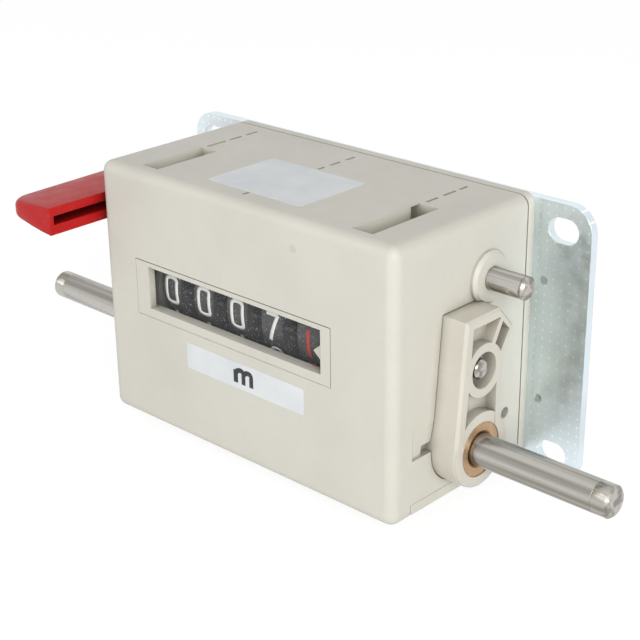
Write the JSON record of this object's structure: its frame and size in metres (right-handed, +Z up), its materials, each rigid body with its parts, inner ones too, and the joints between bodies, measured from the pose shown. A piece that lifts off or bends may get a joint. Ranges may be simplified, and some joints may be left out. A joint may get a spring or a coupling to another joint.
{
  "type": "cable length counter",
  "caption": "Mechanical length counter with printed number wheels behind a window, a through drive shaft, a reset lever, a ribbed gear case and a slotted mounting plate.",
  "frame": {"origin": "middle of the mounting plate's back face", "axes": "+X along the drive shaft towards the gear case side, +Y from the front cover back through the mounting plate, +Z up"},
  "size_m": [0.1722, 0.0599, 0.0646],
  "materials": {
    "plate_zinc": "bright zinc-plated sheet",
    "screw_steel": "plain steel",
    "frame_plastic": "light grey moulding, matt",
    "cover_plastic": "warm light grey moulding, matt",
    "case_plastic": "warm light grey moulding, satin",
    "lens_clear": "clear polished",
    "bush_bronze": "sintered bronze",
    "shaft_steel": "ground steel",
    "wheel_plastic": "black moulding",
    "gear_plastic": "natural gear moulding",
    "lever_red": "red moulding, semi-gloss"
  },
  "bodies": {
    "housing": {"mounting_plate": "plate_zinc", "plate_screws": "screw_steel", "base_frame": "frame_plastic", "front_cover": "cover_plastic", "window_lens": "lens_clear", "gear_case": "case_plastic", "left_bearing_plate": "frame_plastic", "right_bearing_plate": "frame_plastic", "right_bush": "bush_bronze", "left_bush": "bush_bronze", "wheel_axle": "shaft_steel", "wheel_axle_clip": "screw_steel", "pinion_axle": "shaft_steel", "pinion_axle_clip": "screw_steel", "axle_spacer": "gear_plastic", "return_spring": "screw_steel"},
    "drive": {"drive_shaft": "shaft_steel", "drive_gear": "gear_plastic", "change_gear": "gear_plastic", "shaft_rings": "screw_steel"},
    "second": {"second_shaft": "shaft_steel", "second_gear": "gear_plastic"},
    "tenths": {"number_wheel_5": "wheel_plastic", "tenths_wheel_gear": "gear_plastic"},
    "wheel_1": {"number_wheel_1": "wheel_plastic"},
    "wheel_2": {"number_wheel_2": "wheel_plastic"},
    "wheel_3": {"number_wheel_3": "wheel_plastic"},
    "wheel_4": {"number_wheel_4": "wheel_plastic"},
    "pinion_1": {"carry_pinion_1": "gear_plastic"},
    "pinion_2": {"carry_pinion_2": "gear_plastic"},
    "pinion_3": {"carry_pinion_3": "gear_plastic"},
    "pinion_4": {"carry_pinion_4": "gear_plastic"},
    "reset": {"reset_shaft": "shaft_steel", "reset_lever": "lever_red", "reset_comb": "gear_plastic"}
  },
  "joints": [
    {"name": "drive_spin", "type": "hinge", "parent": "housing", "child": "drive", "pos_m": [0.0012, -0.0262, -0.0158], "axis": [1, 0, 0], "continuous": true},
    {"name": "second_spin", "type": "hinge", "parent": "housing", "child": "second", "pos_m": [0.0012, -0.0259, 0.0022], "axis": [1, 0, 0], "continuous": true},
    {"name": "tenths_spin", "type": "hinge", "parent": "housing", "child": "tenths", "pos_m": [0.0012, -0.0294, 0.00495], "axis": [1, 0, 0], "continuous": true},
    {"name": "wheel_4_spin", "type": "hinge", "parent": "housing", "child": "wheel_4", "pos_m": [0.0012, -0.0294, 0.00495], "axis": [1, 0, 0], "continuous": true},
    {"name": "wheel_3_spin", "type": "hinge", "parent": "housing", "child": "wheel_3", "pos_m": [0.0012, -0.0294, 0.00495], "axis": [1, 0, 0], "continuous": true},
    {"name": "wheel_2_spin", "type": "hinge", "parent": "housing", "child": "wheel_2", "pos_m": [0.0012, -0.0294, 0.00495], "axis": [1, 0, 0], "continuous": true},
    {"name": "wheel_1_spin", "type": "hinge", "parent": "housing", "child": "wheel_1", "pos_m": [0.0012, -0.0294, 0.00495], "axis": [1, 0, 0], "continuous": true},
    {"name": "pinion_4_spin", "type": "hinge", "parent": "housing", "child": "pinion_4", "pos_m": [0.0012, -0.0133, 0.00495], "axis": [1, 0, 0], "continuous": true},
    {"name": "pinion_3_spin", "type": "hinge", "parent": "housing", "child": "pinion_3", "pos_m": [0.0012, -0.0133, 0.00495], "axis": [1, 0, 0], "continuous": true},
    {"name": "pinion_2_spin", "type": "hinge", "parent": "housing", "child": "pinion_2", "pos_m": [0.0012, -0.0133, 0.00495], "axis": [1, 0, 0], "continuous": true},
    {"name": "pinion_1_spin", "type": "hinge", "parent": "housing", "child": "pinion_1", "pos_m": [0.0012, -0.0133, 0.00495], "axis": [1, 0, 0], "continuous": true},
    {"name": "reset_press", "type": "hinge", "parent": "housing", "child": "reset", "pos_m": [0.0012, -0.0176, 0.0186], "axis": [1, 0, 0], "range_deg": [0, 45], "stiffness_Nm_per_rad": 0.03, "springref_deg": -28.65}
  ],
  "couplings": [
    {"joint": "second_spin", "follows": "drive_spin", "ratio": -1},
    {"joint": "tenths_spin", "follows": "drive_spin", "ratio": -0.5},
    {"joint": "wheel_4_spin", "follows": "drive_spin", "ratio": -0.05},
    {"joint": "wheel_3_spin", "follows": "drive_spin", "ratio": -0.005},
    {"joint": "wheel_2_spin", "follows": "drive_spin", "ratio": -0.0005},
    {"joint": "wheel_1_spin", "follows": "drive_spin", "ratio": -0.00005},
    {"joint": "pinion_4_spin", "follows": "drive_spin", "ratio": 0.125},
    {"joint": "pinion_3_spin", "follows": "drive_spin", "ratio": 0.0125},
    {"joint": "pinion_2_spin", "follows": "drive_spin", "ratio": 0.00125},
    {"joint": "pinion_1_spin", "follows": "drive_spin", "ratio": 0.000125}
  ]
}
